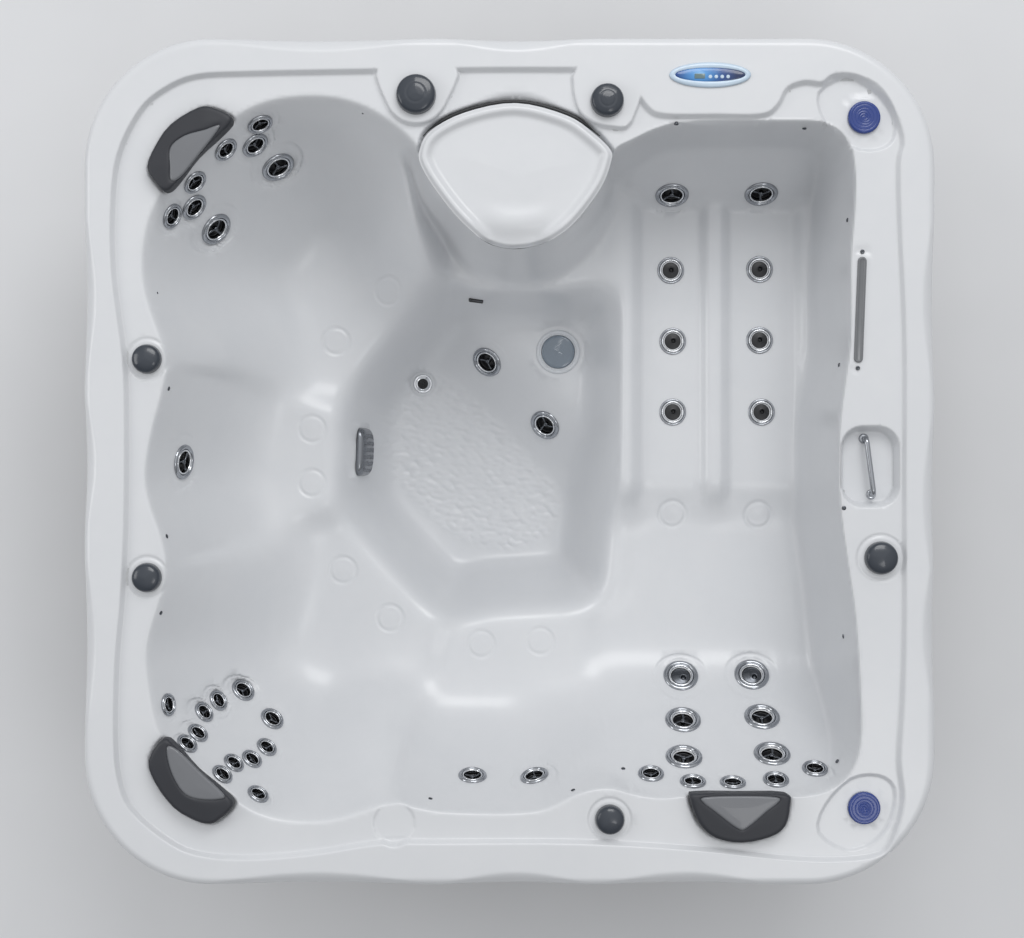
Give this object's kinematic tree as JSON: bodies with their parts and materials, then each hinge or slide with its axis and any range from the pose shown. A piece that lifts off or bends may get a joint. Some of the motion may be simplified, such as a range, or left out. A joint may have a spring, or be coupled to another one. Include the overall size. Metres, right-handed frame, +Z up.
{
  "type": "hot tub",
  "caption": "Square acrylic hot tub with a lounger, two corner seats, two small seats and a footwell, in a panelled cabinet",
  "frame": {"origin": "middle of the base, on the floor", "axes": "+Z up; +Y towards the side with the control panel and the filter; +X towards the lounger's side"},
  "size_m": [2.1, 2.09, 0.9303],
  "materials": {
    "acrylic": "gloss",
    "chrome": "polished",
    "grey_plastic": "satin",
    "pillow_foam": "matt",
    "blue_plastic": "gloss",
    "clear_lens": "gloss",
    "panel_blue": "gloss",
    "white_plastic": "matt",
    "black_plastic": "matt",
    "cabinet_board": "wood grain",
    "frame_timber": "sawn",
    "foam_block": "matt",
    "motor_paint": "satin",
    "filter_paper": "matt"
  },
  "bodies": {
    "root": {"shell": "acrylic", "jets_top_left_seat": "chrome", "jets_left_seat": "chrome", "jets_bottom_left_seat": "chrome", "jets_bottom_seat": "chrome", "jets_lounger_back": "chrome", "jets_lounger_shoulders": "chrome", "jets_lounger_legs": "chrome", "jets_lounger_feet": "chrome", "jets_footwell": "chrome", "grab_rail": "chrome", "suction_cover": "chrome", "floor_drain": "chrome", "heater_tube": "chrome", "waterfall_spout": "grey_plastic", "suction_body": "grey_plastic", "filter_housing": "grey_plastic", "pillow_top_left": "pillow_foam", "pillow_bottom_left": "pillow_foam", "pillow_lounger": "pillow_foam", "light_lens": "clear_lens", "control_panel": "panel_blue", "light_housing": "white_plastic", "control_pack": "white_plastic", "ozone_generator": "white_plastic", "drain_valve": "white_plastic", "base_pan": "black_plastic", "pump_wet_end": "black_plastic", "cabinet_front": "cabinet_board", "cabinet_left": "cabinet_board", "cabinet_right": "cabinet_board", "corner_post_back_right": "cabinet_board", "corner_post_back_left": "cabinet_board", "corner_post_front_left": "cabinet_board", "corner_post_front_right": "cabinet_board", "support_frame": "frame_timber", "footwell_block": "foam_block", "pump_motor": "motor_paint", "circulation_pump": "motor_paint", "filter_cartridge": "filter_paper"},
    "diverter_knob_left": {"diverter_knob_left": "grey_plastic"},
    "diverter_knob_right": {"diverter_knob_right": "grey_plastic"},
    "air_knob_left_back": {"air_knob_left_back": "grey_plastic"},
    "air_knob_left_front": {"air_knob_left_front": "grey_plastic"},
    "air_knob_front": {"air_knob_front": "grey_plastic"},
    "air_knob_right": {"air_knob_right": "grey_plastic"},
    "nozzle_top_left_right": {"nozzle_top_left_right": "chrome"},
    "nozzle_top_left_left": {"nozzle_top_left_left": "chrome"},
    "nozzle_left_seat": {"nozzle_left_seat": "chrome"},
    "nozzle_lounger_foot_left": {"nozzle_lounger_foot_left": "chrome"},
    "nozzle_lounger_foot_right": {"nozzle_lounger_foot_right": "chrome"},
    "panel_button_1": {"panel_button_1": "white_plastic"},
    "panel_button_2": {"panel_button_2": "white_plastic"},
    "panel_button_3": {"panel_button_3": "white_plastic"},
    "panel_button_4": {"panel_button_4": "white_plastic"},
    "corner_cap_back": {"corner_cap_back": "blue_plastic"},
    "corner_cap_front": {"corner_cap_front": "blue_plastic"},
    "filter_lid": {"filter_lid": "acrylic"},
    "cabinet_back": {"cabinet_back": "cabinet_board"},
    "pump_impeller": {"pump_impeller": "white_plastic"}
  },
  "joints": [
    {"name": "diverter_knob_left_turn", "type": "hinge", "parent": "root", "child": "diverter_knob_left", "pos_m": [-0.2289, 0.8987, 0.9], "axis": [0, 0, 1], "range_deg": [-90, 90]},
    {"name": "diverter_knob_right_turn", "type": "hinge", "parent": "root", "child": "diverter_knob_right", "pos_m": [0.2394, 0.88407, 0.9], "axis": [0, 0, 1], "range_deg": [-90, 90]},
    {"name": "air_knob_left_back_turn", "type": "hinge", "parent": "root", "child": "air_knob_left_back", "pos_m": [-0.89145, 0.25185, 0.884], "axis": [0, 0, 1], "range_deg": [0, 180]},
    {"name": "air_knob_left_front_turn", "type": "hinge", "parent": "root", "child": "air_knob_left_front", "pos_m": [-0.89145, -0.28528, 0.884], "axis": [0, 0, 1], "range_deg": [0, 180]},
    {"name": "air_knob_front_turn", "type": "hinge", "parent": "root", "child": "air_knob_front", "pos_m": [0.24675, -0.87989, 0.884], "axis": [0, 0, 1], "range_deg": [0, 180]},
    {"name": "air_knob_right_turn", "type": "hinge", "parent": "root", "child": "air_knob_right", "pos_m": [0.9135, -0.23721, 0.884], "axis": [0, 0, 1], "range_deg": [0, 180]},
    {"name": "nozzle_top_left_right_spin", "type": "hinge", "parent": "root", "child": "nozzle_top_left_right", "pos_m": [-0.60197, 0.76578, 0.64919], "axis": [0.4805, -0.7343, 0.4795], "continuous": true},
    {"name": "nozzle_top_left_left_spin", "type": "hinge", "parent": "root", "child": "nozzle_top_left_left", "pos_m": [-0.76272, 0.60422, 0.65165], "axis": [0.6813, -0.5567, 0.4753], "continuous": true},
    {"name": "nozzle_left_seat_spin", "type": "hinge", "parent": "root", "child": "nozzle_left_seat", "pos_m": [-0.83548, -0.00125, 0.71099], "axis": [0.9306, -0.1125, 0.3484], "continuous": true},
    {"name": "nozzle_lounger_foot_left_spin", "type": "hinge", "parent": "root", "child": "nozzle_lounger_foot_left", "pos_m": [0.4369, 0.71645, 0.5018], "axis": [0, -0.8373, 0.5467], "continuous": true},
    {"name": "nozzle_lounger_foot_right_spin", "type": "hinge", "parent": "root", "child": "nozzle_lounger_foot_right", "pos_m": [0.6762, 0.71896, 0.50568], "axis": [0, -0.8405, 0.5417], "continuous": true},
    {"name": "panel_button_1_press", "type": "slide", "parent": "root", "child": "panel_button_1", "axis": [0, 0, -1], "range_m": [0, 0.001], "stiffness_N_per_m": 1000},
    {"name": "panel_button_2_press", "type": "slide", "parent": "root", "child": "panel_button_2", "axis": [0, 0, -1], "range_m": [0, 0.001], "stiffness_N_per_m": 1000},
    {"name": "panel_button_3_press", "type": "slide", "parent": "root", "child": "panel_button_3", "axis": [0, 0, -1], "range_m": [0, 0.001], "stiffness_N_per_m": 1000},
    {"name": "panel_button_4_press", "type": "slide", "parent": "root", "child": "panel_button_4", "axis": [0, 0, -1], "range_m": [0, 0.001], "stiffness_N_per_m": 1000},
    {"name": "corner_cap_back_lift", "type": "slide", "parent": "root", "child": "corner_cap_back", "axis": [0, 0, 1], "range_m": [0, 0.06]},
    {"name": "corner_cap_front_lift", "type": "slide", "parent": "root", "child": "corner_cap_front", "axis": [0, 0, 1], "range_m": [0, 0.06]},
    {"name": "filter_lid_lift", "type": "slide", "parent": "root", "child": "filter_lid", "axis": [0, 0, 1], "range_m": [0, 0.3]},
    {"name": "service_panel_pull", "type": "slide", "parent": "root", "child": "cabinet_back", "axis": [0, 1, 0], "range_m": [0, 0.3]},
    {"name": "pump_impeller_spin", "type": "hinge", "parent": "root", "child": "pump_impeller", "pos_m": [-0.63, 0.8151, 0.17], "axis": [1, 0, 0], "continuous": true}
  ]
}
